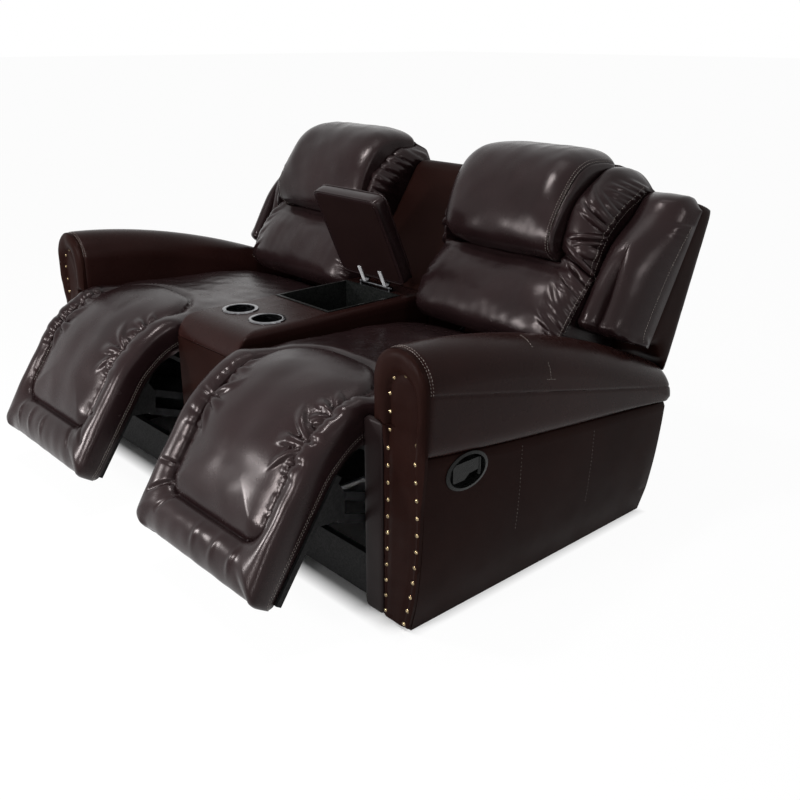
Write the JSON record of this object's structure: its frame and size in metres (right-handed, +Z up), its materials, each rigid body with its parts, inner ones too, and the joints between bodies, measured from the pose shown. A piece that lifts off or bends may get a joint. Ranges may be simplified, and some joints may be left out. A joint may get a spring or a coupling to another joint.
{
  "type": "reclining loveseat",
  "caption": "Padded reclining loveseat with rolled arms, swing-out footrests, reclining backs and a middle console with cup holders and a lidded storage bin.",
  "frame": {"origin": "on the floor, under the middle of the whole piece's bounding box at rest", "axes": "+X to the right as seen from in front of the seats, +Y to the rear, +Z up"},
  "size_m": [1.85, 1.4847, 1.0184],
  "materials": {
    "leather": "glossy dark brown bonded leather",
    "black_steel": "satin black enamel on steel",
    "black_board": "plywood covered in matte black cloth",
    "black_plastic": "satin moulded",
    "chrome": "polished",
    "rail_wood": "raw, hidden"
  },
  "bodies": {
    "base": {"front_rail": "black_board", "rear_rail": "rail_wood", "rear_panel": "leather", "console_case": "leather", "console_deck": "leather", "cup_holder_right": "chrome", "cup_holder_left": "chrome", "storage_bin": "black_plastic", "lid_hinge_base": "chrome", "console_back": "leather", "arm_body_right": "leather", "arm_roll_right": "leather", "arm_front_panel_right": "leather", "arm_post_right": "leather", "handle_bezel_right": "black_plastic", "side_plate_right_outer": "black_steel", "side_plate_right_inner": "black_steel", "seat_deck_right": "rail_wood", "seat_cushion_right": "leather", "arm_body_left": "leather", "arm_roll_left": "leather", "arm_front_panel_left": "leather", "arm_post_left": "leather", "handle_bezel_left": "black_plastic", "side_plate_left_outer": "black_steel", "side_plate_left_inner": "black_steel", "seat_deck_left": "rail_wood", "seat_cushion_left": "leather"},
    "footrest_right": {"footrest_board_right": "black_board", "footrest_pad_right": "leather"},
    "drive_right": {"drive_tube_right": "black_steel"},
    "idler_right": {"idler_tube_right": "black_steel"},
    "upper_links_right": {"upper_link_right_outer": "black_steel", "upper_link_right_inner": "black_steel"},
    "lower_links_right": {"lower_link_right_outer": "black_steel", "lower_link_right_inner": "black_steel"},
    "back_right": {"back_shell_right": "leather", "back_cushion_right": "leather", "headrest_right": "leather", "wing_right": "leather", "back_bracket_right_outer": "black_steel", "back_bracket_right_inner": "black_steel"},
    "handle_right": {"release_handle_right": "black_plastic"},
    "footrest_left": {"footrest_board_left": "black_board", "footrest_pad_left": "leather"},
    "drive_left": {"drive_tube_left": "black_steel"},
    "idler_left": {"idler_tube_left": "black_steel"},
    "upper_links_left": {"upper_link_left_outer": "black_steel", "upper_link_left_inner": "black_steel"},
    "lower_links_left": {"lower_link_left_outer": "black_steel", "lower_link_left_inner": "black_steel"},
    "back_left": {"back_shell_left": "leather", "back_cushion_left": "leather", "headrest_left": "leather", "wing_left": "leather", "back_bracket_left_outer": "black_steel", "back_bracket_left_inner": "black_steel"},
    "handle_left": {"release_handle_left": "black_plastic"},
    "lid": {"console_lid": "leather", "lid_hinge_rod": "chrome"}
  },
  "joints": [
    {"name": "footrest_fold_right", "type": "hinge", "parent": "base", "child": "footrest_right", "pos_m": [0.4535, -0.47, 0.47], "axis": [-1, 0, 0], "range_deg": [-34, 50]},
    {"name": "drive_crank_right", "type": "hinge", "parent": "base", "child": "drive_right", "pos_m": [0.4535, -0.23508, 0.38449], "axis": [-1, 0, 0], "range_deg": [-34, 50]},
    {"name": "idler_crank_right", "type": "hinge", "parent": "base", "child": "idler_right", "pos_m": [0.4535, -0.09412, 0.33319], "axis": [-1, 0, 0], "range_deg": [-34, 50]},
    {"name": "upper_link_pin_right", "type": "hinge", "parent": "drive_right", "child": "upper_links_right", "pos_m": [0.4535, -0.25047, 0.24283], "axis": [-1, 0, 0], "range_deg": [-50, 34]},
    {"name": "lower_link_pin_right", "type": "hinge", "parent": "drive_right", "child": "lower_links_right", "pos_m": [0.4535, -0.25668, 0.18566], "axis": [-1, 0, 0], "range_deg": [-50, 34]},
    {"name": "recline_right", "type": "hinge", "parent": "base", "child": "back_right", "pos_m": [0.4535, 0.38, 0.36], "axis": [-1, 0, 0], "range_deg": [0, 22]},
    {"name": "handle_pull_right", "type": "hinge", "parent": "base", "child": "handle_right", "pos_m": [0.904, -0.228, 0.396], "axis": [0, 0, 1], "range_deg": [0, 35], "stiffness_Nm_per_rad": 0.6},
    {"name": "footrest_fold_left", "type": "hinge", "parent": "base", "child": "footrest_left", "pos_m": [-0.4535, -0.47, 0.47], "axis": [-1, 0, 0], "range_deg": [-34, 50]},
    {"name": "drive_crank_left", "type": "hinge", "parent": "base", "child": "drive_left", "pos_m": [-0.4535, -0.23508, 0.38449], "axis": [-1, 0, 0], "range_deg": [-34, 50]},
    {"name": "idler_crank_left", "type": "hinge", "parent": "base", "child": "idler_left", "pos_m": [-0.4535, -0.09412, 0.33319], "axis": [-1, 0, 0], "range_deg": [-34, 50]},
    {"name": "upper_link_pin_left", "type": "hinge", "parent": "drive_left", "child": "upper_links_left", "pos_m": [-0.4535, -0.25047, 0.24283], "axis": [-1, 0, 0], "range_deg": [-50, 34]},
    {"name": "lower_link_pin_left", "type": "hinge", "parent": "drive_left", "child": "lower_links_left", "pos_m": [-0.4535, -0.25668, 0.18566], "axis": [-1, 0, 0], "range_deg": [-50, 34]},
    {"name": "recline_left", "type": "hinge", "parent": "base", "child": "back_left", "pos_m": [-0.4535, 0.38, 0.36], "axis": [-1, 0, 0], "range_deg": [0, 22]},
    {"name": "handle_pull_left", "type": "hinge", "parent": "base", "child": "handle_left", "pos_m": [-0.904, -0.228, 0.396], "axis": [0, 0, -1], "range_deg": [0, 35], "stiffness_Nm_per_rad": 0.6},
    {"name": "lid_hinge", "type": "hinge", "parent": "base", "child": "lid", "pos_m": [0, 0.237, 0.577], "axis": [-1, 0, 0], "range_deg": [-66, 0]}
  ],
  "couplings": [
    {"joint": "drive_crank_right", "follows": "footrest_fold_right", "ratio": 1},
    {"joint": "idler_crank_right", "follows": "footrest_fold_right", "ratio": 1},
    {"joint": "upper_link_pin_right", "follows": "footrest_fold_right", "ratio": -1},
    {"joint": "lower_link_pin_right", "follows": "footrest_fold_right", "ratio": -1},
    {"joint": "drive_crank_left", "follows": "footrest_fold_left", "ratio": 1},
    {"joint": "idler_crank_left", "follows": "footrest_fold_left", "ratio": 1},
    {"joint": "upper_link_pin_left", "follows": "footrest_fold_left", "ratio": -1},
    {"joint": "lower_link_pin_left", "follows": "footrest_fold_left", "ratio": -1}
  ]
}
